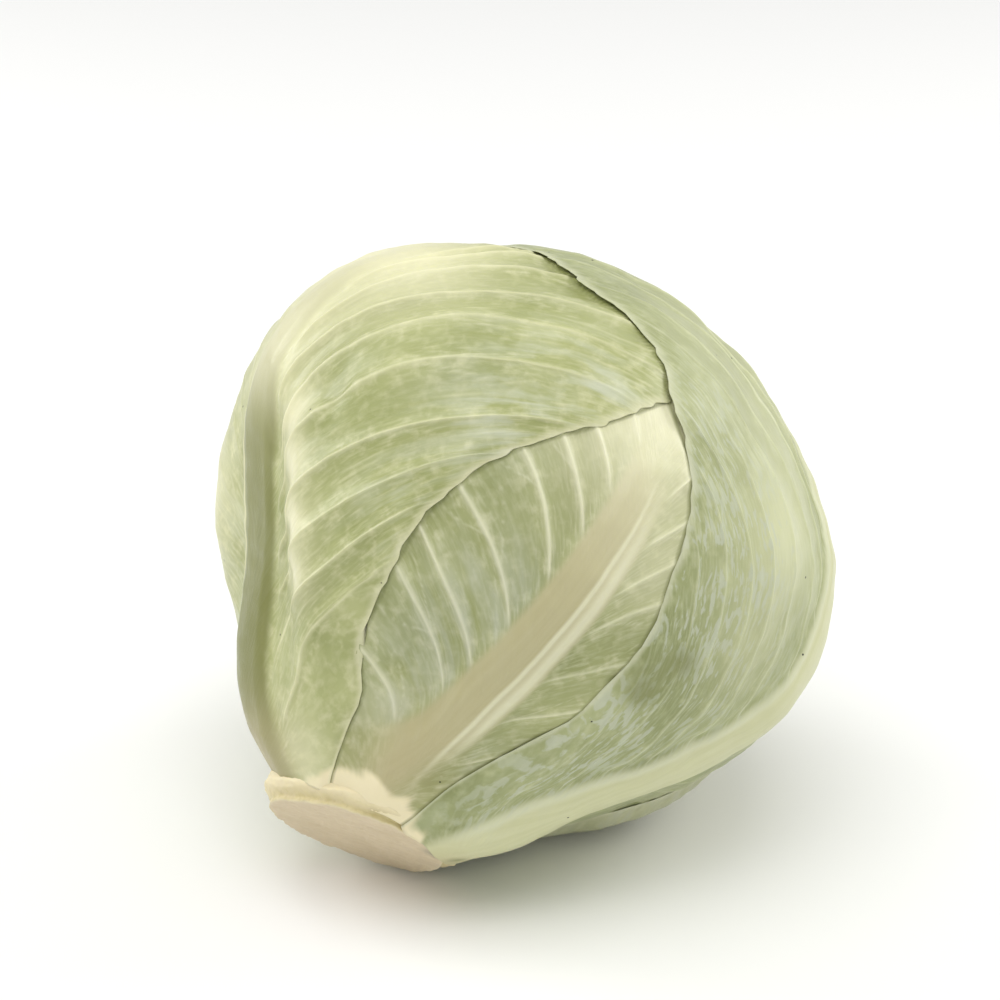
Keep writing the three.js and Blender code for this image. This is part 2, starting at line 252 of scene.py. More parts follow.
def outsideLeaf(directions, leaf):
    # distance from a leaf's outline in its flat pattern, negative on the leaf (even-odd rule)
    points = layFlat(directions, leaf)
    outline = leaf["outline"]
    away, _ = nearestOnLine(points, np.vstack([outline, outline[:1]]))
    inside = np.zeros(away.shape, bool)
    for start, end in zip(outline, np.roll(outline, -1, axis=0)):
        between = (start[1] > points[..., 1]) != (end[1] > points[..., 1])
        rise = end[1] - start[1] if abs(end[1] - start[1]) > 1e-12 else 1e-12
        crossing = start[0] + (end[0] - start[0]) * (points[..., 1] - start[1]) / rise
        inside ^= between & (points[..., 0] < crossing)
    return np.where(inside, -away, away)


# Wrapper leaves from the inside out. Margins run from base to tip; veins give each lateral vein's
# station (share of the way to the tip) at the midrib, half-way out and at the margin. Ridges along the
# midrib (ribLines), folds and dents are (where, high, wide); a sunk one has a negative height. Tones on a
# blade (pale patches and painted highlights, bloom, dark smudges and painted shade, tan, painted shade
# along creases) are (where, share, wide). Heights are in mm, widths in degrees,
# and those of ribLines in half widths of the midrib. A lift is (side, start, end, high, waves, rolled).
leafFront = {
    "node": "leaf_front",
    "centre": (80, 12),
    "rib": [(16.5, -6), (26, 3), (38, 9), (60, 13), (90, 15), (118, 14)],
    "left": [(16.5, -50), (30, -50), (50, -45), (75, -40), (100, -30), (118, -12)],
    "right": [(16.5, 42), (30, 50), (50, 55), (75, 52), (100, 42), (118, 28)],
    "tip": (128, 12),
    "ribHalf": (7.6, 4),
    "ribFlare": 10,
    "ribHigh": (3.4, 1.2),
    "ribLines": [(0.28, 0.22, 0.08), (0.66, 0.55, 0.24), (-1.2, -0.3, 0.25), (1.2, -0.3, 0.2)],
    "wave": 0,
    "dents": [((72, -20), -1.0, 14), ((84, 33), 0.8, 12)],
    "veins": {
        "root": [0.05, 0.14, 0.26, 0.355, 0.45, 0.555, 0.65, 0.76, 0.88],
        "left": ([0.13, 0.24, 0.3, 0.395, 0.505, 0.585, 0.66, 0.77, 0.88],
                 [0.22, 0.35, 0.42, 0.45, 0.52, 0.59, 0.67, 0.78, 0.89]),
        "right": ([0.14, 0.25, 0.355, 0.465, 0.54, 0.62, 0.715, 0.8, 0.89],
                  [0.2, 0.3, 0.4, 0.47, 0.54, 0.61, 0.69, 0.79, 0.89]),
        "strong": (1, 0.8),  # left and right side
        "offRib": (0.75, 1.3),
        "high": (0.75, 0.6),
        "half": (0.8, 0.7),
        "quilt": 0.55,
    },
    "rowsPerVein": 27,
    "columns": (24, 60, 12),
    "paleAndHighlight": [((112, 13), 1.0, 20), ((84, 24), 0.35, 9)],
    "bloom": [((52, -3), 1.0, 12), ((66, 1), 1.0, 11), ((34, -8), 0.8, 9), ((33, 24), 0.7, 8),
              ((92, -12), 0.4, 10)],
    "smudge": [((40, 30), 0.4, 5)],
    "tan": [((24, 0), 0.4, 12)],
    "seamShade": 1,
    "seed": 11,
}

leafLeft = {
    "node": "leaf_left",
    "centre": (85, -75),
    "rib": [(16.5, -88), (33, -80), (50, -73), (65, -70), (80, -70), (95, -68), (110, -64), (126, -58),
            (142, -48)],
    "left": [(16.5, -128), (30, -136), (50, -146), (75, -153), (100, -160), (125, -170), (142, -175),
             (156, -140)],
    "right": [(16.5, -29), (26, -24), (37, -20), (45, -24), (53, -22), (67, -19), (80, -14), (94, -4),
              (104, 6), (113, 13), (124, 20), (136, 22), (150, 5)],
    "tip": (162, -60),
    "ribHalf": (10.5, 3),
    "ribFlare": 3,
    "ribHigh": (4.2, 1.0),
    # the line at -0.95 runs along the midrib's left edge; its pale colour is painted rim light
    "ribLines": [(-0.95, 0.3, 0.09), (1.15, -0.4, 0.18)],
    "wave": 0.4,
    "folds": [
        ([(96, -69), (90, -68), (78, -59), (69, -55), (59, -52), (49, -52), (38, -57), (30, -62)], -1.9, 3.4),
        ([(92, -58), (82, -51), (73, -46), (62, -42), (51, -42), (41, -46), (30, -50)], 1.5, 4.2),
    ],
    # painted shade: a dark line along the crease between the midrib's foot and the blade
    "creases": [([(31, -110), (24, -106), (18, -80), (15, -60)], 0.8, 0.6)],
    "dents": [((89, -43), 0.9, 7.5), ((89, -43), -2.6, 3.4), ((98, -28), 1.0, 9), ((84, -30), -0.8, 9)],
    "veins": {
        "root": [0.02, 0.05, 0.12, 0.19, 0.26, 0.34, 0.4, 0.45, 0.53, 0.65, 0.76, 0.88],
        "left": ([0.05, 0.1, 0.16, 0.22, 0.3, 0.38, 0.46, 0.54, 0.63, 0.74, 0.84, 0.93],
                 [0.17, 0.23, 0.28, 0.34, 0.4, 0.46, 0.52, 0.6, 0.68, 0.77, 0.86, 0.94]),
        "right": ([0.05, 0.105, 0.175, 0.25, 0.35, 0.41, 0.47, 0.6, 0.74, 0.83, 0.9, 0.95],
                  [0.18, 0.23, 0.28, 0.335, 0.38, 0.435, 0.5, 0.63, 0.77, 0.85, 0.91, 0.96]),
        "strong": (0.15, 1),
        "offRib": (1.0, 1.7),
        "high": (1.15, 0.55),
        "half": (1.4, 0.75),
        "quilt": 1.15,
    },
    "rowsPerVein": 24,
    "columns": (30, 84, 15),
    # pale blanched patches; the four small spots along the crest fold, (84, -53) to (55, -45), are painted
    # highlights
    "paleAndHighlight": [((122, -68), 0.9, 20), ((96, -66), 0.6, 12), ((72, -94), 0.6, 13), ((118, -44), 0.35, 12),
             ((84, -53), 0.8, 5), ((75, -49), 0.9, 5), ((65, -46), 0.9, 5), ((55, -45), 0.8, 5),
             ((22, -45), 0.5, 7)],
    "bloom": [((104, -2), 1.0, 13), ((94, -10), 0.8, 12), ((60, -76), 0.7, 12), ((74, -22), 0.5, 10)],
    # the dark spot in the dimple is painted shade
    "smudge": [((89, -43), 0.45, 3.2)],
    "tan": [((20, -85), 0.9, 10)],
    "seamShade": 1,
    "seed": 23,
}

leafRight = {
    "node": "leaf_right",
    "centre": (95, 77),
    "rib": [(16.5, 68), (28, 61), (42, 62), (60, 67), (80, 73), (100, 75), (125, 72), (150, 72), (168, 85)],
    "left": [(16.5, 20), (28, 22), (39, 27), (47, 31), (57, 32), (72, 31), (86, 27), (101, 22), (113, 13),
             (120, 8), (130, -9), (136, -20), (144, -41), (147, -70)],
    "right": [(16.5, 128), (30, 128), (50, 127), (75, 135), (100, 150), (125, 175), (140, -150)],
    "tip": (150, -105),
    "ribHalf": (9.5, 2.5),
    "ribFlare": 2,
    "ribHigh": (4.4, 1.2),
    "ribLines": [(-0.9, 0.45, 0.12), (-1.2, -0.4, 0.16)],
    "wave": 0.4,
    "lifts": [("left", 0.36, 0.62, 0.9, 2, 0)],
    "dents": [((100, 44), 0.8, 9), ((78, 46), -0.7, 10)],
    "veins": {
        "root": [0.015, 0.04, 0.08, 0.13, 0.21, 0.3, 0.36, 0.44, 0.54, 0.64, 0.74, 0.84, 0.92],
        "left": ([0.06, 0.12, 0.18, 0.235, 0.285, 0.34, 0.415, 0.5, 0.6, 0.7, 0.79, 0.87, 0.94],
                 [0.2, 0.27, 0.31, 0.34, 0.375, 0.42, 0.47, 0.54, 0.62, 0.71, 0.79, 0.87, 0.94]),
        "right": ([0.05, 0.12, 0.17, 0.23, 0.31, 0.39, 0.46, 0.54, 0.62, 0.7, 0.79, 0.87, 0.94],
                  [0.15, 0.24, 0.3, 0.36, 0.42, 0.48, 0.54, 0.61, 0.68, 0.76, 0.83, 0.89, 0.95]),
        "strong": (1, 0.5),
        "offRib": (0.8, 1.3),
        "high": (0.5, 0.35),
        "half": (0.95, 0.55),
        "quilt": 0.35,
    },
    "rowsPerVein": 21,
    "columns": (30, 84, 15),
    "paleAndHighlight": [((104, 46), 0.8, 13), ((124, 40), 0.35, 26), ((84, 52), 0.5, 9), ((150, 40), 0.3, 30)],
    "bloom": [((86, 34), 1.0, 12), ((60, 38), 0.9, 12), ((98, 40), 0.9, 12), ((45, 42), 0.9, 11),
              ((112, 22), 0.7, 12), ((75, 55), 0.7, 16), ((30, 42), 0.7, 9)],
    # the spot at (19, 62) is painted shade in the gap at the leaf's base; the others darken the blade in
    # spots
    "smudge": [((75, 40), 1.0, 3.2), ((66, 38), 0.9, 3.4), ((70, 35), 0.5, 6), ((19, 62), 1.0, 1.8)],
    "tan": [((17, 64), 0.7, 5)],
    "seamShade": 0.15,
    "seed": 37,
}

leafRear = {
    "node": "leaf_rear",
    "centre": (80, -160),
    "rib": [(16.5, -160), (40, -162), (70, -160), (100, -158), (125, -160)],
    "left": [(16.5, 120), (28, 111), (40, 103), (52, 99), (65, 97), (80, 98), (92, 103), (105, 116),
             (118, 136), (132, 165)],
    "right": [(16.5, -120), (25, -120), (38, -118), (52, -115), (65, -113), (80, -112), (90, -113),
              (100, -116), (112, -123), (125, -136)],
    "tip": (140, -165),
    "ribHalf": (6, 2),
    "ribFlare": 3,
    "ribHigh": (4.2, 0.5),
    "ribLines": [(0.3, 0.2, 0.13), (-0.3, 0.2, 0.13)],
    "wave": 1.1,
    "lifts": [("right", 0.2, 0.75, 1.8, 3, 1), ("left", 0.03, 0.55, 3.6, 5, 1)],
    "veins": {
        "root": [0.03, 0.09, 0.17, 0.26, 0.36, 0.46, 0.56, 0.67, 0.78, 0.89],
        "left": ([0.08, 0.16, 0.25, 0.35, 0.45, 0.54, 0.63, 0.72, 0.81, 0.9],
                 [0.16, 0.25, 0.34, 0.43, 0.51, 0.59, 0.66, 0.74, 0.82, 0.91]),
        "right": ([0.08, 0.16, 0.25, 0.35, 0.45, 0.54, 0.63, 0.72, 0.81, 0.9],
                  [0.16, 0.25, 0.34, 0.43, 0.51, 0.59, 0.66, 0.74, 0.82, 0.91]),
        "strong": (0.8, 0.8),
        "offRib": (0.7, 1.3),
        "high": (0.6, 0.4),
        "half": (0.9, 0.6),
        "quilt": 0.4,
    },
    "rowsPerVein": 24,
    "columns": (27, 66, 15),
    "paleAndHighlight": [((75, -95), 0.6, 40), ((60, 105), 0.4, 30)],
    "bloom": [((60, -140), 0.7, 40), ((60, 110), 0.8, 30)],
    "seamShade": 0,
    "seed": 53,
}

# Cream collar round the stub: it climbs the leaf bases highest on the side towards `round`, in degrees
collarForm = {"low": 15.0, "climb": 8.5, "round": -4, "wide": 34, "ragged": 0.5, "step": 0.5}

leafOrder = [leafFront, leafLeft, leafRight, leafRear]


def marginPoints(leaf, side, station):
    # the margin's curve at each station, swung along its normal by two sine waves that rest at both ends
    point = curvePoints(leaf["flat"][side], station)
    tangent = curveTangents(leaf["flat"][side], station)
    outward = 1 if side == "right" else -1
    swing = 0.6 * np.sin(10 * pi * station) + 0.4 * np.sin(18 * pi * station + 1)
    wave = leaf["wave"] * swing * window(0, 0.15, 0.85, 1, station) * outward
    return point + np.stack([-tangent[..., 1], tangent[..., 0]], -1) * wave[..., None]


def baseBow(leaf, side):
    # how far the base edge bows out, to follow the stub's outline round
    fromStub, ribRound = leaf["rib"][0]
    halfTurn = (leaf[side][0][1] - ribRound) / 2
    halfTurn -= 180 * round(halfTurn / 180)
    corner = headDirection((fromStub / np.cos(radians(halfTurn)), ribRound + halfTurn))
    ends = layFlat(headDirection([leaf["rib"][0], leaf[side][0]]), leaf)
    return layFlat(corner, leaf) - ends.mean(axis=0)


def prepareLeaf(leaf):
    # curves of the midrib and margins in the leaf's flat pattern, and its outline as a closed line
    for key in ("lifts", "folds", "creases", "dents", "smudge", "tan"):
        leaf.setdefault(key, [])
    leaf["frame"] = flatFrame(leaf["centre"])
    leaf["flat"] = {
        "rib": layFlat(headDirection(leaf["rib"]), leaf),
        "left": layFlat(headDirection(leaf["left"] + [leaf["tip"]]), leaf),
        "right": layFlat(headDirection(leaf["right"] + [leaf["tip"]]), leaf),
    }
    stations = np.linspace(0, 1, 61)
    leaf["ribLine"] = curvePoints(leaf["flat"]["rib"], stations)
    sides = [marginPoints(leaf, side, stations) for side in ("left", "right")]
    leaf["outline"] = np.vstack([sides[0], sides[1][-2::-1]])


def bladePoints(leaf, side, station, share):
    # quadratic curve from the midrib out to the margin, leaving at an angle towards the tip
    root = curvePoints(leaf["flat"]["rib"], station)
    along = curveTangents(leaf["flat"]["rib"], station)
    end = marginPoints(leaf, side, np.minimum(1, station + veinForm["lead"] * np.sin(pi * station)))
    outward = np.stack([-along[..., 1], along[..., 0]], -1) * (1 if side == "right" else -1)
    length = np.linalg.norm(end - root, axis=-1, keepdims=True)
    angle = radians(veinForm["leaveAngle"])
    bent = root + veinForm["reach"] * length * (along * np.cos(angle) + outward * np.sin(angle))
    atBase = smooth(0, 0.15, station)[..., None]
    bending = atBase * (1 - smooth(0.8, 1, station)[..., None])
    straight = (root + end) / 2 + baseBow(leaf, side) * (1 - atBase)
    control = straight + (bent - straight) * bending
    t = share[..., None]
    return (1 - t) ** 2 * root + 2 * t * (1 - t) * control + t**2 * end


def veinStations(leaf, side, turn, share):
    # station of a row that keeps to the veins: between two veins it is shared out evenly
    root = np.array([0, *leaf["veins"]["root"], 1])
    middle = np.array([0, *leaf["veins"][side][0], 1])
    end = np.array([0, *leaf["veins"][side][1], 1])
    course = (root[:, None] * 2 * (share - 0.5) * (share - 1) + middle[:, None] * 4 * share * (1 - share)
              + end[:, None] * 2 * share * (share - 0.5))
    course = np.maximum.accumulate(course, axis=0)
    below = np.minimum(turn.astype(int), len(root) - 2)
    part = (turn - below)[:, None]
    return course[below] * (1 - part) + course[below + 1] * part


def innerRadius(directions, outsides):
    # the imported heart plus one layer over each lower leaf, climbing smoothly beside its margin
    layer = layers["blade"] + layers["gap"]
    radius = formRadius(directions) - layers["depth"]
    for outside in outsides:
        radius = radius + layer * (1 - smooth(*layers["rise"], outside))
    return radius


def ribRelief(leaf, away, station, sideSign):
    # a rounded rib that flares at the base and thins towards the tip, with fine lengthwise ridges
    half = between(leaf["ribHalf"], station) + leaf["ribFlare"] * (1 - smooth(*ribForm["flare"], station))
    shownRib = 1 - smooth(*ribForm["fade"], station)
    lowAtFoot, risenBy = ribForm["foot"]
    risen = between((lowAtFoot, 1), smooth(0, risenBy, station)) * between((0.1, 1), shownRib)
    offset = away / half
    profile = between((1 - smooth(0, 1, offset), 1 - smooth(*ribForm["flatTop"], offset)), ribForm["flat"])
    relief = between(leaf["ribHigh"], station) * risen * profile
    ridgesAndRimLight = np.zeros(offset.shape)
    shown = window(0.01, 0.1, 0.65, 0.95, station)
    for at, lineHigh, wide in leaf["ribLines"]:
        line = bump(offset * sideSign - at, wide) * shown
        relief += lineHigh * line
        # raised lines with a positive height also make the pale ridge mark, in part painted rim light
        ridgesAndRimLight += (lineHigh > 0) * line
    return relief, offset, ridgesAndRimLight, (1 - smooth(0.8, 1.1, offset)) * shownRib


def veinRelief(leaf, turn, share, spacing, random):
    # ridges along whole turns, each a bell curve of the distance in mm; the blade sags between them, and
    # forks leave them to meet half-way to the next vein
    veins = leaf["veins"]
    high, half = between(veins["high"], share), between(veins["half"], share)
    main = np.zeros(spacing.shape)
    forks = np.zeros(spacing.shape)
    skirt, wider = veinForm["skirt"]
    count = len(veins["root"]) + 1
    for vein in range(1, count):
        sway = np.sin(2 * pi * (random.uniform(1, 1.8) * share + random.uniform(0, 1))) * share
        sway *= veinForm["sway"]
        distance = np.abs(turn[:, None] - vein - sway) * spacing
        strength = random.uniform(*veinForm["strength"])
        ridgeAndRimLight = (1 - skirt) * bump(distance, half) + skirt * bump(distance, wider * half)
        main = np.maximum(main, strength * high * ridgeAndRimLight)
        for heading in (-1, 1):
            start, reach, out = random.uniform(*veinForm["forks"])
            course = vein + sway + heading * out * smooth(start - 0.05, start + reach, share) ** 0.8
            distance = np.abs(turn[:, None] - course) * spacing
            fork = smooth(start - 0.06, start, share) * bump(distance, veinForm["forkHalf"] * half)
            forks = np.maximum(forks, fork)
    depths = random.uniform(*veinForm["sagDepths"], count)[np.minimum(turn.astype(int), count - 1)]
    fromVein = np.abs(turn - np.round(turn))
    sag = (veins["quilt"] * depths * smooth(0, 0.4, fromVein))[:, None] * window(0.1, 0.34, 0.86, 1, share)
    return main, forks, sag


def marginLift(leaf, side, station, share):
    # the margin stands off between two stations, in waves; a rolled one comes down again at its lip
    lift = np.zeros(station.shape)
    for liftSide, start, end, high, waves, rolled in leaf["lifts"]:
        if liftSide == side:
            middle = (start + end) / 2
            lifted = np.minimum(1, 4 * window(start, middle, middle, end, station))
            wave = 0.75 + 0.25 * np.cos(2 * pi * waves * station)
            profile = smooth(0.72, 1 - 0.07 * rolled, share) * (1 - rolled * smooth(0.93, 1, share))
            lift = lift + high * lifted * wave * profile
    return lift


def placedSum(directions, spots):
    # sum of bell curves round places
    total = np.zeros(directions.shape[:-1])
    for place, amount, wide in spots:
        total += amount * bump(angleFrom(directions, place), wide)
    return total


def collarShare(directions, points):
    # 1 on the cream collar and 0 beyond its wavy edge, which a bell curve of the turn lifts on one side
    around = np.degrees(np.arctan2(directions[..., 1], directions[..., 0]))
    lifted = bump(around - collarForm["round"], collarForm["wide"])
    edge = collarForm["low"] + collarForm["climb"] * lifted + collarForm["ragged"] * ripple(points, 7, 71)
    return 1 - smooth(-0.9, 0.9, degreesFromStub(directions) - edge)


def shareColumns(counts):
    # shares of the way to the margin: close on the midrib, wider on the blade, close at the lip
    onRib, onBlade, onLip = counts
    return np.concatenate([
        np.linspace(0, 0.2, onRib, endpoint=False),
        np.linspace(0.2, 0.93, onBlade, endpoint=False),
        1 - 0.07 * np.linspace(1, 0, onLip + 1) ** 1.4,
    ])


def leafHalf(leaf, side, lower, upper, turn, share):
    # one side of a leaf on the grid of turns and shares: points of both faces and the marks for its finish.
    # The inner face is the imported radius; the outer one adds the blade, the midrib, veins, sags and folds
    random = np.random.default_rng(leaf["seed"] + (1 if side == "right" else 2))
    sideSign = 1 if side == "right" else -1
    station = veinStations(leaf, side, turn, share)
    waves = lipForm["notchWaves"]
    notch = sum(np.sin(2 * pi * wave * station + random.uniform(0, 6)) for wave in waves) / len(waves)
    notch = notch * smooth(0.8, 1, share) * window(0, 0.1, 0.9, 1, station)
    flat = bladePoints(leaf, side, station, share * (1 + lipForm["notch"] * notch))
    directions = wrapRound(flat, leaf)
    openRib = np.ones(station.shape)
    openVein = np.ones(station.shape)
    seam = np.full(station.shape, 90.0)
    for other in upper:
        outside = outsideLeaf(directions, other)
        openRib *= smooth(*layers["ribFade"], outside)
        openVein *= smooth(*layers["veinFade"], outside)
        seam = np.minimum(seam, outside)
    inner = innerRadius(directions, [outsideLeaf(directions, other) for other in lower])
    points = directions * inner[..., None]
    gaps = np.linalg.norm(np.diff(points, axis=0), axis=-1) / np.diff(turn)[:, None]
    spacing = np.vstack([gaps[:1], (gaps[1:] + gaps[:-1]) / 2, gaps[-1:]])
    away, ribStation = nearestOnLine(flat, leaf["ribLine"])
    rib, offset, ridgesAndRimLight, onRib = ribRelief(leaf, away, ribStation, sideSign)
    main, forks, sag = veinRelief(leaf, turn, share, spacing, random)
    strong = leaf["veins"]["strong"][0 if side == "left" else 1]
    main, sag = main * strong, sag * strong
    ends = window(0.015, 0.08, 0.93, 1, station) * (1 - smooth(0.95, 1, share))
    offRib = ends * smooth(*leaf["veins"]["offRib"], offset)
    beyondRib = smooth(0.9, 1.5, offset)
    main *= offRib
    forks *= offRib
    soft = placedSum(directions, leaf["dents"]) - sag * ends * beyondRib
    for seed, (high, size) in enumerate(bladeSwells.values(), leaf["seed"]):
        soft += high * ripple(points, size, seed)
    for places, high, wide in leaf["folds"]:
        away, along = alongPlaces(flat, leaf, places)
        soft += high * bump(away, wide) * window(0, 0.25, 0.75, 1, along)
    soft *= smooth(0, 0.1, station) * (1 - smooth(0.9, 1, share))
    # painted shade along creases, added to the painted shade at seams
    creaseShade = np.zeros(station.shape)
    for places, amount, wide in leaf["creases"]:
        away, along = alongPlaces(flat, leaf, places)
        creaseShade += amount * bump(away, wide) * window(0, 0.1, 0.9, 1, along)
    collar = collarShare(directions, points)
    relief = openRib * rib + openVein * (main + veinForm["forkHigh"] * forks + soft)
    relief = relief + collarForm["step"] * collar
    deepest, runOut = layers["deepest"]
    sunk = np.minimum(relief + deepest, 0)
    relief = relief - sunk + runOut * np.tanh(sunk / runOut)  # a hollow stops short of the leaf below
    inner = inner + marginLift(leaf, side, station, share)
    inner = inner - layers["droop"] * smooth(lipForm["droop"], 1, share)
    blade = between((layers["blade"], layers["margin"]), smooth(lipForm["thin"], 1, share))
    blade = blade - lipForm["bevel"] * smooth(lipForm["round"], 1, share)
    above = len(upper) * (layers["blade"] + layers["gap"])
    outer = np.minimum(inner + blade + relief, floorRadius(directions, above))
    inner = np.minimum(inner + np.minimum(relief, 0), floorRadius(directions, above + layers["blade"]))
    alongRun = layers["veinPitch"] * turn[:, None] * np.ones(len(share))
    steps = np.linalg.norm(np.diff(points, axis=1), axis=-1)
    acrossRun = np.hstack([np.zeros((len(turn), 1)), np.cumsum(steps, axis=1)])
    # the smudge tone includes painted shade, and the pale tone includes painted highlights
    tones = {key: np.clip(placedSum(directions, leaf[key]), 0, 1)
             for key in ("paleAndHighlight", "bloom", "smudge", "tan")}
    tones["bloom"] *= 1 - 0.8 * (1 - smooth(0.8, 1.15, offset))  # little of it holds on the midrib
    return {
        "outer": directions * outer[..., None],
        "inner": directions * inner[..., None],
        "run": np.stack([alongRun, acrossRun * sideSign], -1),
        "rib": onRib * openRib,
        "ridgeAndRimLight": np.clip(ridgesAndRimLight, 0, 1) * openRib,
        "vein": np.clip(main / leaf["veins"]["high"][0], 0, 1) * openVein,
        "fork": forks * openVein,
        "lip": smooth(0.975, 1, share) * np.ones(station.shape),
        # painted shade: darker beside the margin of an upper leaf, where its lip shades this blade, and along
        # creases
        "creviceShade": np.maximum(bump(seam, 0.7) * leaf["seamShade"], creaseShade),
        # painted shade: the blade is darker where it sags between veins
        "valleyShade": np.clip(sag / leaf["veins"]["quilt"], 0, 1) * beyondRib,
        "collar": collar,
        **tones,
    }


def meshPiece(name, points, faces, marks=None, run=None):
    # puts points (mm, about the head's middle) and faces in a mesh, smooth, with marks as attributes
    mesh = bpy.data.meshes.new(name)
    world = (points @ headTurn.T + headMiddle) * millimetre
    mesh.from_pydata(world.tolist(), [], faces)
    mesh.polygons.foreach_set("use_smooth", np.ones(len(mesh.polygons), bool))
    for mark, values in (marks or {}).items():
        attribute = mesh.attributes.new(mark, "FLOAT", "POINT")
        attribute.data.foreach_set("value", np.asarray(values, np.float32))
    if run is not None:
        corners = np.empty(len(mesh.loops), np.int32)
        mesh.loops.foreach_get("vertex_index", corners)
        layer = mesh.uv_layers.new(name="leafRun")
        layer.data.foreach_set("uv", (run[corners] / runUnit).astype(np.float32).ravel())
    mesh.update()
    piece = bpy.data.objects.new(name, mesh)
    bpy.context.scene.collection.objects.link(piece)
    return piece


def turnedFaces(rings, turns):
    # quads between rings of points, and a fan at each end from two middle points that follow the rings
    index = np.arange(rings * turns).reshape(rings, turns)
    nextTurn = np.roll(index, -1, axis=1)
    faces = np.stack([index[:-1], index[1:], nextTurn[1:], nextTurn[:-1]], -1).reshape(-1, 4).tolist()
    faces += [[index.size, int(a), int(b)] for a, b in zip(index[0], nextTurn[0])]
    faces += [[index.size + 1, int(b), int(a)] for a, b in zip(index[-1], nextTurn[-1])]
    return faces


def leafPiece(leaf, name):
    # both halves side by side on one grid; the inner face is three times as coarse, joined at the rim
    order = leafOrder.index(leaf)
    lower, upper = leafOrder[:order], leafOrder[order + 1:]
    veins = len(leaf["veins"]["root"]) + 1
    rows = veins * leaf["rowsPerVein"]
    even = np.linspace(0, veins, rows + 1)
    turn = even - 0.62 * np.sin(2 * pi * even) / (2 * pi)  # rows lie closer on the veins
    share = shareColumns(leaf["columns"])
    half = len(share) - 1
    sides = {side: leafHalf(leaf, side, lower, upper, turn, share) for side in ("left", "right")}
    grid = {key: np.concatenate([sides["left"][key][:, :0:-1], sides["right"][key]], axis=1)
            for key in sides["left"]}
    width = 2 * half + 1
    index = np.arange((rows + 1) * width).reshape(rows + 1, width)
    index[-1, :half] = index[-1, :half:-1]  # the last row's halves are one line, out to the tip
    coarse = index[::3, ::3]
    shift = (rows + 1) * width

    def quads(table, flip):
        corners = [table[:-1, :-1], table[:-1, 1:], table[1:, 1:], table[1:, :-1]]
        return np.stack([corners[i].ravel() for i in ([0, 3, 2, 1] if flip else [0, 1, 2, 3])], -1)

    rim = np.concatenate([index[0, :-1], index[:-1, -1], index[:0:-1, 0]])
    ring = np.append(rim, rim[0])
    strips = [[int(ring[i + 3]), int(ring[i + 2]), int(ring[i + 1]), int(ring[i]),
               int(ring[i]) + shift, int(ring[i + 3]) + shift] for i in range(0, len(rim), 3)]
    faces = quads(index, False).tolist() + (quads(coarse, True) + shift).tolist() + strips
    used = np.unique(np.concatenate([index.ravel(), coarse.ravel() + shift]))
    renumber = np.zeros(2 * shift, int)
    renumber[used] = np.arange(len(used))
    faces = [renumber[face].tolist() for face in faces]
    outer, inner = grid["outer"].reshape(-1, 3), grid["inner"].reshape(-1, 3)
    points = np.vstack([outer, inner])[used]
    marks = {key: np.tile(grid[key].ravel(), 2)[used] for key in grid if key not in ("outer", "inner", "run")}
    run = np.tile(grid["run"].reshape(-1, 2), (2, 1))[used]
    piece = meshPiece(name, points, faces, marks, run)
    print(name, "faces", len(faces))
    return piece


# Cut stub: radii and drops in millimetres from the head's middle, towards the cut
stubForm = {
    "cutDrop": 96.6,
    "lean": (61, 9.1),  # the knife's slant: towards, degrees
    "radius": 26,
    "waist": 25.8,
    "waistDrop": 95.4,
    "collar": 29.7,  # where the leaf bases grow out of it
    "collarDrop": 92.2,
    "topDrop": 83.3,
    "rim": 0.6,
    "bruise": (24.5, 62, 3.6),  # from the axis in millimetres, round in degrees, wide
    "cutTo": 0.5,  # shares of the profile that the cut and then the rim take
    "rimTo": 0.58,
    "steps": 150,  # points of the profile
    "turns": 288,  # profiles round the axis
    "seed": 5,
}


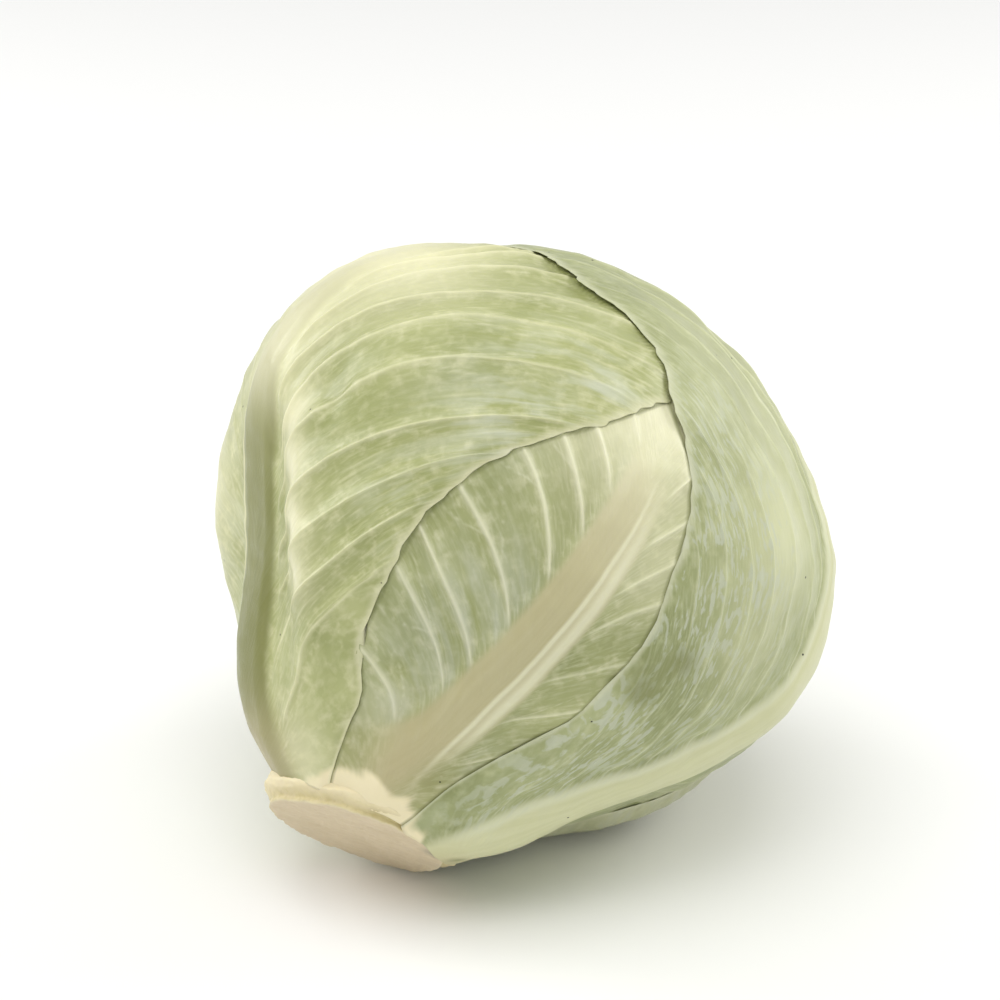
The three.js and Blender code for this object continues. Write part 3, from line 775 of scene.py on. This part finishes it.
def stubPiece():
    # a profile from the middle of the cut out over the rim, in to the waist and out to the collar,
    # turned round the axis and roughened by waves of the turn
    turns, steps = stubForm["turns"], stubForm["steps"]
    cutTo, rimTo, rim = stubForm["cutTo"], stubForm["rimTo"], stubForm["rim"]
    turn = np.linspace(0, 2 * pi, turns, endpoint=False)[None, :]
    share = np.linspace(0, 1, steps)[:, None]
    onCut = np.clip(share / cutTo, 0, 1)
    onRim = np.clip((share - cutTo) / (rimTo - cutTo), 0, 1)
    onSide = np.clip((share - rimTo) / (1 - rimTo), 0, 1)
    sideDrop = stubForm["cutDrop"] - rim - onSide * (stubForm["cutDrop"] - rim - stubForm["topDrop"])
    flare = smooth(stubForm["waistDrop"], stubForm["collarDrop"], sideDrop)
    lobes = np.abs(np.sin(5.5 * turn + 0.6 + 0.5 * np.sin(2 * turn))) - 0.6
    sideRadius = (between((stubForm["radius"], stubForm["waist"]), smooth(0, 0.35, onSide))
                  + (stubForm["collar"] - stubForm["waist"] + 0.35 * lobes) * flare)
    sideRadius = sideRadius - 6 * smooth(0.75, 1, onSide)  # drawn in at the top, out of sight
    cutRadius = (stubForm["radius"] - rim) * onCut
    rimRadius = stubForm["radius"] - rim * (1 - np.sin(onRim * pi / 2))
    radius = np.where(share <= cutTo, cutRadius, np.where(share <= rimTo, rimRadius, sideRadius))
    outOfRound = 0.025 * np.sin(3 * turn + 1) + 0.015 * np.sin(5 * turn + 2.2)
    radius = radius * (1 + outOfRound * smooth(1, 0.55, onSide) * onCut)
    x, y = radius * np.cos(turn), radius * np.sin(turn)
    towards, angle = np.radians(stubForm["lean"])
    slant = np.tan(angle) * (x * np.cos(towards) + y * np.sin(towards))
    cutDrop = stubForm["cutDrop"] - slant - rim * (1 - np.cos(onRim * pi / 2))
    drop = np.where(share <= rimTo, cutDrop, sideDrop - slant * smooth(1, 0, onSide) ** 1.5)
    random = np.random.default_rng(stubForm["seed"])
    ragged = sum(np.sin(k * turn + random.uniform(0, 6)) for k in (7, 11, 17, 23, 31)) / 5
    points = np.stack([x, y, -drop], -1)
    grain = 0.06 * ripple(points * [1, 1, 0.2], 1.6, 3) + 0.1 * ripple(points, 7, 4)
    dish = 0.42 * (1 - onCut**2)  # the cut is a little hollow
    points[..., 2] += (grain + dish) * (onCut > 0) * (1 - onSide) + 0.35 * ragged * bump(share - 0.53, 0.04)
    outward = np.stack([np.cos(turn) * np.ones_like(share), np.sin(turn) * np.ones_like(share),
                        np.zeros_like(x)], -1)
    scars = 0.12 * ripple(np.stack([x, y, 3 * drop], -1), 5, 8) + 0.07 * ripple(points, 1.8, 9)
    points += outward * (scars * window(0.02, 0.2, 0.7, 0.9, onSide))[..., None]
    away, around, wide = stubForm["bruise"]
    fromBruise = np.hypot(x - away * np.cos(radians(around)), y - away * np.sin(radians(around)))
    caps = np.array([[0, 0, -float(drop[0].mean()) + 0.42], [0, 0, -stubForm["topDrop"]]])
    allPoints = np.vstack([points[1:].reshape(-1, 3), caps])
    allRound = np.ones((1, turns))
    marks = {
        "cut": np.append((1 - smooth(cutTo, 0.56, share[1:])) * allRound, [1, 0]),
        "edge": np.append(bump(share[1:] - 0.53, 0.035) * allRound, [0, 0]),
        "collar": np.append(flare[1:] * allRound, [0, 1]),
        "bruise": np.append(bump(fromBruise[1:], wide), [0, 0]),
    }
    return meshPiece("stub_cut", allPoints, turnedFaces(steps - 1, turns), marks)


# Packed heart, in millimetres: gap under the leaves, drop of its flat foot, height over the floor, clouds
heartForm = {"gap": 1.4, "foot": 82.6, "floorGap": 2.6, "cloud": 15.385, "turns": 180, "rings": 90}


def heartPiece():
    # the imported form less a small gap, cut flat at the stub and lifted clear of the floor
    around = np.linspace(0, 360, heartForm["turns"], endpoint=False)
    down = np.linspace(0, 180, heartForm["rings"] + 2)[1:-1]
    places = np.stack(np.meshgrid(down, around, indexing="ij"), -1)
    directions = np.concatenate([headDirection(places).reshape(-1, 3), [[0, 0, -1.0], [0, 0, 1.0]]])
    radius = np.minimum(formRadius(directions) - layers["depth"] - heartForm["gap"],
                        floorRadius(directions, heartForm["floorGap"]))
    foot = np.where(directions[:, 2] < -0.5, heartForm["foot"] / np.maximum(-directions[:, 2], 0.5), 1e9)
    points = directions * np.minimum(radius, foot)[:, None]
    # the rings run from the stub end up, so each face is turned over
    faces = [[face[0]] + face[:0:-1] for face in turnedFaces(len(down), len(around))]
    return meshPiece("heart_leaves", points, faces)


def colour(hexCode):
    # sRGB hex to linear: c/12.92 below 0.04045, else ((c + 0.055) / 1.055) to the 2.4
    parts = np.array([int(hexCode[i:i + 2], 16) for i in (0, 2, 4)]) / 255
    linear = np.where(parts <= 0.04045, parts / 12.92, ((parts + 0.055) / 1.055) ** 2.4)
    return (*linear.tolist(), 1.0)


def setValues(tree, node, **values):
    # a value goes to the node's setting of that name, or else to its input, where a socket or a node's first
    # output is linked and a plain value is set; i2 is the input numbered 2
    for key, value in values.items():
        value = value.outputs[0] if isinstance(value, bpy.types.Node) else value
        if key in node.bl_rna.properties:
            setattr(node, key, value)
            continue
        socket = node.inputs[int(key[1:]) if key[1:].isdigit() else key.replace("_", " ")]
        if isinstance(value, bpy.types.NodeSocket):
            tree.links.new(value, socket)
        else:
            socket.default_value = value


def addNode(tree, kind, **values):
    # one shader node with its settings and links
    node = tree.nodes.new("ShaderNode" + kind)
    setValues(tree, node, **values)
    return node


def newMaterial(name):
    # an empty node tree with a Principled shader and its output
    material = bpy.data.materials.new(name)
    material.use_nodes = True
    tree = material.node_tree
    tree.nodes.clear()
    shader = addNode(tree, "BsdfPrincipled")
    addNode(tree, "OutputMaterial", Surface=shader.outputs["BSDF"])
    return material, tree, shader


def layCoats(tree, ground, coats):
    # lays tones over a ground; a coat is what its share follows, where that starts, where it is full, how
    # strong the coat is there, and its tone, a hex code or a socket
    base = colour(ground)
    for follows, start, full, most, tone in coats:
        tone = colour(tone) if isinstance(tone, str) else tone
        share = addNode(tree, "MapRange", Value=follows, From_Min=start, From_Max=full, To_Max=most)
        base = addNode(tree, "Mix", data_type="RGBA", i0=share, i6=base, i7=tone).outputs[2]
    return base


# Tones of each leaf. Dust is the bloom: width and length of its grains in millimetres, along the veins, and
# where its noise starts and is full
leafFinish = {
    "leaf_front": {
        "blade": "a9ad78", "deep": "90965f", "paleAndHighlight": "f2efcc", "rib": "b3ab80", "ribLight": "c2bb92",
        "vein": "e3e2c2", "bloom": "c6caba", "dust": (3.846, 27.47, 0.3, 0.9), "veinShare": 0.8,
    },
    "leaf_left": {
        # the midrib's dark olive is partly its own colour and partly painted shade on a rib turned down and
        # away from the light
        "blade": "b3b780", "deep": "989e64", "paleAndHighlight": "f4f0ca", "rib": "727440", "ribLight": "86884f",
        "vein": "e4e2ba", "bloom": "ced2bc", "dust": (3.3333, 23.81, 0.42, 0.66), "veinShare": 0.85,
    },
    "leaf_right": {
        "blade": "a9af7f", "deep": "8f9664", "paleAndHighlight": "d3d5ab", "rib": "c6c797", "ribLight": "d9d9b3",
        "vein": "d6d8b8", "bloom": "c2c7b2", "dust": (1.6129, 5.376, 0.51, 0.6), "veinShare": 0.6,
    },
    "leaf_rear": {
        "blade": "b3b68c", "deep": "9a9f74", "paleAndHighlight": "d6d6b4", "rib": "c3c49a", "ribLight": "d3d3ae",
        "vein": "d6d6ba", "bloom": "c4c6b2", "dust": (2, 6.667, 0.45, 0.6), "veinShare": 0.6,
    },
}

# Grain of a leaf, in millimetres; a pair is a width and a length
leafGrain = {
    "cloud": 23.81,  # clouds of two greens
    "patch": 11.765,  # patches of bloom
    "fleck": 3.846,  # mottle
    "speck": 8.3333,  # cells, some with a speck of soil, drawn 0.8 mm wide: a finer one wouldn't show
    "fibre": (0.8333, 5.952),  # fibres along the veins; real ones are too fine to show
    "stripe": (3.846, 48.08),  # stripes along the midrib
}


def waxyLeaf(name, tones):
    # Outer leaf of white cabbage, grown: a thin waxy skin over pale green flesh. The eye gets a soft broad
    # sheen, cream ridges of vein, cloudy green between them and a grey-white bloom that dulls the gloss.
    material, tree, shader = newMaterial(name)
    place = addNode(tree, "TexCoord").outputs["Object"]
    run = addNode(tree, "UVMap", uv_map="leafRun").outputs["UV"]  # 1 is 100 mm
    mark = {key: addNode(tree, "Attribute", attribute_name=key).outputs["Fac"]
            for key in ("rib", "ridgeAndRimLight", "vein", "fork", "lip", "paleAndHighlight", "bloom", "smudge", "creviceShade", "valleyShade",
                        "collar", "tan")}
    noise = {}
    for key, detail in (("cloud", 4.0), ("fleck", 5.0), ("patch", 3.0)):
        noise[key] = addNode(tree, "TexNoise", Vector=place, Scale=1 / (leafGrain[key] * millimetre),
                             Detail=detail)
    wide, long = leafGrain["fibre"]
    fibreRun = addNode(tree, "Mapping", Vector=run, Scale=(1, wide / long, 1))
    fibre = addNode(tree, "TexNoise", Vector=fibreRun, Scale=runUnit / wide, Detail=3.0)
    wide, long = leafGrain["stripe"]
    stripeRun = addNode(tree, "Mapping", Vector=run, Scale=(wide / long, 1, 1))
    stripe = addNode(tree, "TexNoise", Vector=stripeRun, Scale=runUnit / wide, Detail=3.0)
    onRib = addNode(tree, "Mix", data_type="RGBA", i0=stripe, i6=colour(tones["rib"]),
                    i7=colour(tones["ribLight"]))
    wide, long, dustStart, dustFull = tones["dust"]
    dustRun = addNode(tree, "Mapping", Vector=run, Scale=(1, wide / long, 1))
    dust = addNode(tree, "TexNoise", Vector=dustRun, Scale=runUnit / wide, Detail=5.0, Distortion=0.5)
    # the bloom lies in patches: the dust's noise plus half of the patches', less the mean of that half
    patchy = addNode(tree, "Math", operation="MULTIPLY_ADD", i0=noise["patch"], i1=0.5, i2=dust)
    dusty = addNode(tree, "Math", operation="SUBTRACT", i0=patchy, i1=0.25)
    bloom = addNode(tree, "MapRange", Value=dusty, From_Min=dustStart, From_Max=dustFull,
                    To_Max=mark["bloom"])
    cells = addNode(tree, "TexVoronoi", Vector=place, Scale=1 / (leafGrain["speck"] * millimetre))
    rare = addNode(tree, "MapRange", Value=cells.outputs["Color"], From_Min=0.6, From_Max=0.62)
    speck = addNode(tree, "MapRange", Value=cells.outputs["Distance"], From_Min=0.05, From_Max=0.035,
                    To_Max=rare)
    base = layCoats(tree, tones["deep"], [
        (noise["cloud"], 0.36, 0.66, 1.0, tones["blade"]),
        (fibre, 0.45, 0.75, 0.35, tones["vein"]),
        (noise["fleck"], 0.5, 0.72, 0.3, tones["paleAndHighlight"]),
        # painted shade in the sags between veins
        (mark["valleyShade"], 0.3, 1.0, 0.45, tones["deep"]),
        (mark["fork"], 0.2, 1.0, 0.3, tones["vein"]),
        (mark["vein"], 0.05, 0.9, tones["veinShare"], tones["vein"]),
        (mark["rib"], 0.0, 1.0, 0.95, onRib.outputs[2]),
        # pale lines on the midrib, in part painted rim light
        (mark["ridgeAndRimLight"], 0.1, 0.9, 0.75, tones["vein"]),
        # pale blanched patches, and painted highlights along the left leaf's crest
        (mark["paleAndHighlight"], 0.0, 1.0, 0.85, tones["paleAndHighlight"]),
        (bloom, 0.0, 1.0, 0.7, tones["bloom"]),
        (mark["tan"], 0.0, 1.0, 0.8, "b5a77c"),
        # dark smudges, some of them painted shade in a dimple and in a gap at a leaf's base
        (mark["smudge"], 0.15, 1.0, 0.7, "7f8450"),
        (mark["collar"], 0.0, 1.0, 0.92, "f3e7c1"),
        (mark["lip"], 0.0, 1.0, 0.6, tones["vein"]),
        # painted shade at seams and creases
        (mark["creviceShade"], 0.3, 1.0, 0.7, "70753f"),
        (speck, 0.0, 1.0, 1.0, "14130c"),
    ])
    gloss = addNode(tree, "MapRange", Value=noise["fleck"], From_Min=0.3, From_Max=0.7, To_Min=0.3,
                    To_Max=0.44)
    dulled = addNode(tree, "Math", operation="MULTIPLY_ADD", i0=bloom, i1=0.22, i2=gloss)
    grain = addNode(tree, "Mix", i0=0.6, i2=noise["fleck"], i3=fibre)
    relief = addNode(tree, "Bump", Height=grain, Strength=0.5, Distance=0.0004)
    setValues(tree, shader, Base_Color=base, Roughness=dulled, Normal=relief.outputs["Normal"],
              Specular_IOR_Level=0.38, IOR=1.45, Coat_Weight=0.1, Coat_Roughness=0.3, Subsurface_Weight=0.1,
              Subsurface_Radius=(0.002, 0.0022, 0.001), Subsurface_Scale=1.0)
    return material


# Grain of the stub, in millimetres
pithGrain = {
    "cloud": 12.5,
    "knife": 2.2222,  # marks of the knife, squeezed to 1.9 mm and drawn out to 9 mm; real ones are finer
    "fleck": 1.6129,  # pores
}


def cutPith():
    # Fresh stub of firm pith, sliced by a knife: matt, tan and faintly streaked, with a paler ragged rim, a
    # grey bruise and a cream collar where leaves were taken off.
    material, tree, shader = newMaterial("cutPith")
    place = addNode(tree, "TexCoord").outputs["Object"]
    knifeRun = addNode(tree, "Mapping", Vector=place, Rotation=(0.4, 0.2, 0.9), Scale=(0.25, 1.2, 1))
    noise = {}
    for key, course in (("cloud", place), ("knife", knifeRun), ("fleck", place)):
        noise[key] = addNode(tree, "TexNoise", Vector=course, Scale=1 / (pithGrain[key] * millimetre),
                             Detail=4.0)
    mark = {key: addNode(tree, "Attribute", attribute_name=key).outputs["Fac"]
            for key in ("cut", "edge", "collar", "bruise")}
    base = layCoats(tree, "c4b680", [
        (noise["cloud"], 0.35, 0.65, 1.0, "dccf9f"),
        (noise["fleck"], 0.5, 0.72, 0.35, "ac9d6c"),
        (mark["collar"], 0.0, 1.0, 0.8, "f3e7c1"),
        (mark["cut"], 0.0, 1.0, 1.0, "d2c2a4"),
        (noise["knife"], 0.42, 0.66, 0.3, "e0d2b5"),
        (noise["cloud"], 0.55, 0.72, 0.2, "b5a47f"),
        (mark["edge"], 0.0, 1.0, 0.45, "e2d9ba"),
        (mark["bruise"], 0.1, 1.0, 0.7, "8d8a76"),
    ])
    rough = addNode(tree, "MapRange", Value=noise["fleck"], From_Min=0.3, From_Max=0.7, To_Min=0.52,
                    To_Max=0.72)
    height = addNode(tree, "Mix", i0=0.4, i2=noise["knife"], i3=noise["fleck"])
    relief = addNode(tree, "Bump", Height=height, Strength=0.5, Distance=0.0003)
    setValues(tree, shader, Base_Color=base, Roughness=rough, Normal=relief.outputs["Normal"],
              Subsurface_Weight=0.1, Subsurface_Radius=(0.002, 0.0018, 0.001), Subsurface_Scale=1.0)
    return material


def innerLeaf():
    # Blanched inner leaf, grown in the dark: smooth, pale yellow-green and faintly clouded.
    material, tree, shader = newMaterial("innerLeaf")
    place = addNode(tree, "TexCoord").outputs["Object"]
    cloud = addNode(tree, "TexNoise", Vector=place, Scale=1 / (heartForm["cloud"] * millimetre),
                    Detail=4.0)
    base = addNode(tree, "Mix", data_type="RGBA", i0=cloud, i6=colour("c6c88f"), i7=colour("e4e3bb"))
    rough = addNode(tree, "MapRange", Value=cloud, From_Min=0.3, From_Max=0.7, To_Min=0.42, To_Max=0.55)
    relief = addNode(tree, "Bump", Height=cloud, Strength=0.4, Distance=0.0005)
    setValues(tree, shader, Base_Color=base.outputs[2], Roughness=rough,
              Normal=relief.outputs["Normal"])
    return material


def dress(piece, node, material):
    # gives a piece its finish, hides the node it stands for and lets it ride on the one body
    piece.data.materials.append(material)
    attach(piece, "root")
    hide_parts(node)


for leaf in leafOrder:
    prepareLeaf(leaf)
for leaf in leafOrder:
    piece = leafPiece(leaf, leaf["node"].replace("leaf", "wrapper"))
    dress(piece, leaf["node"], waxyLeaf("waxy_" + leaf["node"], leafFinish[leaf["node"]]))
print("wrapper leaves done")

dress(stubPiece(), "stem", cutPith())
dress(heartPiece(), "heart", innerLeaf())
print("stub and heart done")

# Floor, light and camera, in metres; the camera stands at the photograph's angle
studio = {
    "floorSize": 6.0,
    "floorColour": "f6f6f4",
    "world": 0.58,
    # soft boxes: place, size, power
    "left": ((-1.2, 0.5, 0.65), 0.7, 6.5),
    "right": ((1.2, 0.4, 0.75), 0.8, 7),
    "top": ((-0.1, -0.4, 1.4), 1.2, 10.5),
}
viewpoint = {
    "lens": 110,
    "sensor": 36,
    "distance": 0.9,
    "elevation": 25,
    "headPixel": (509, 547),  # where the head's middle falls in the picture
    "imageSize": 1000,
}


def makeFloor():
    # a plain square sheet just under what rests on it
    half = studio["floorSize"] / 2
    mesh = bpy.data.meshes.new("floor")
    low = -0.0001
    mesh.from_pydata([(-half, -half, low), (half, -half, low), (half, half, low), (-half, half, low)], [],
                     [(0, 1, 2, 3)])
    floor = bpy.data.objects.new("floor", mesh)
    bpy.context.scene.collection.objects.link(floor)
    material, tree, shader = newMaterial("matt_white_sheet")  # paper sweep: matt, near white
    setValues(tree, shader, Base_Color=colour(studio["floorColour"]), Roughness=0.8)
    mesh.materials.append(material)


def makeLight(name, place, size, power):
    # a square soft light that looks at the head's middle
    light = bpy.data.lights.new(name, "AREA")
    light.shape = "SQUARE"
    light.size = size
    light.energy = power
    lamp = bpy.data.objects.new(name, light)
    lamp.location = place
    lamp.rotation_euler = (Vector(place) - Vector(headMiddle * millimetre)).to_track_quat("Z", "Y").to_euler()
    bpy.context.scene.collection.objects.link(lamp)


def makeCamera():
    # looks along +Y and down; the aim is moved so that the head's middle falls on its pixel
    elevation = radians(viewpoint["elevation"])
    pixel = viewpoint["sensor"] * viewpoint["distance"] / (viewpoint["lens"] * viewpoint["imageSize"])
    right = np.array([1, 0, 0])
    up = np.array([0, np.sin(elevation), np.cos(elevation)])
    back = np.array([0, -np.cos(elevation), np.sin(elevation)])
    offset = (np.array(viewpoint["headPixel"]) - viewpoint["imageSize"] / 2) * pixel
    aim = headMiddle * millimetre - offset[0] * right + offset[1] * up
    data = bpy.data.cameras.new("camera")
    data.lens = viewpoint["lens"]
    data.sensor_width = viewpoint["sensor"]
    camera = bpy.data.objects.new("camera", data)
    camera.location = aim + back * viewpoint["distance"]
    camera.rotation_euler = (pi / 2 - elevation, 0, 0)
    bpy.context.scene.collection.objects.link(camera)
    bpy.context.scene.camera = camera


makeFloor()
for box in ("left", "right", "top"):
    makeLight(box, *studio[box])
makeCamera()
world = bpy.data.worlds.new("soft_room")
world.use_nodes = True
setValues(world.node_tree, world.node_tree.nodes["Background"], Color=(1, 1, 1, 1), Strength=studio["world"])
bpy.context.scene.world = world
bpy.context.scene.view_settings.view_transform = "Standard"
print("studio done")
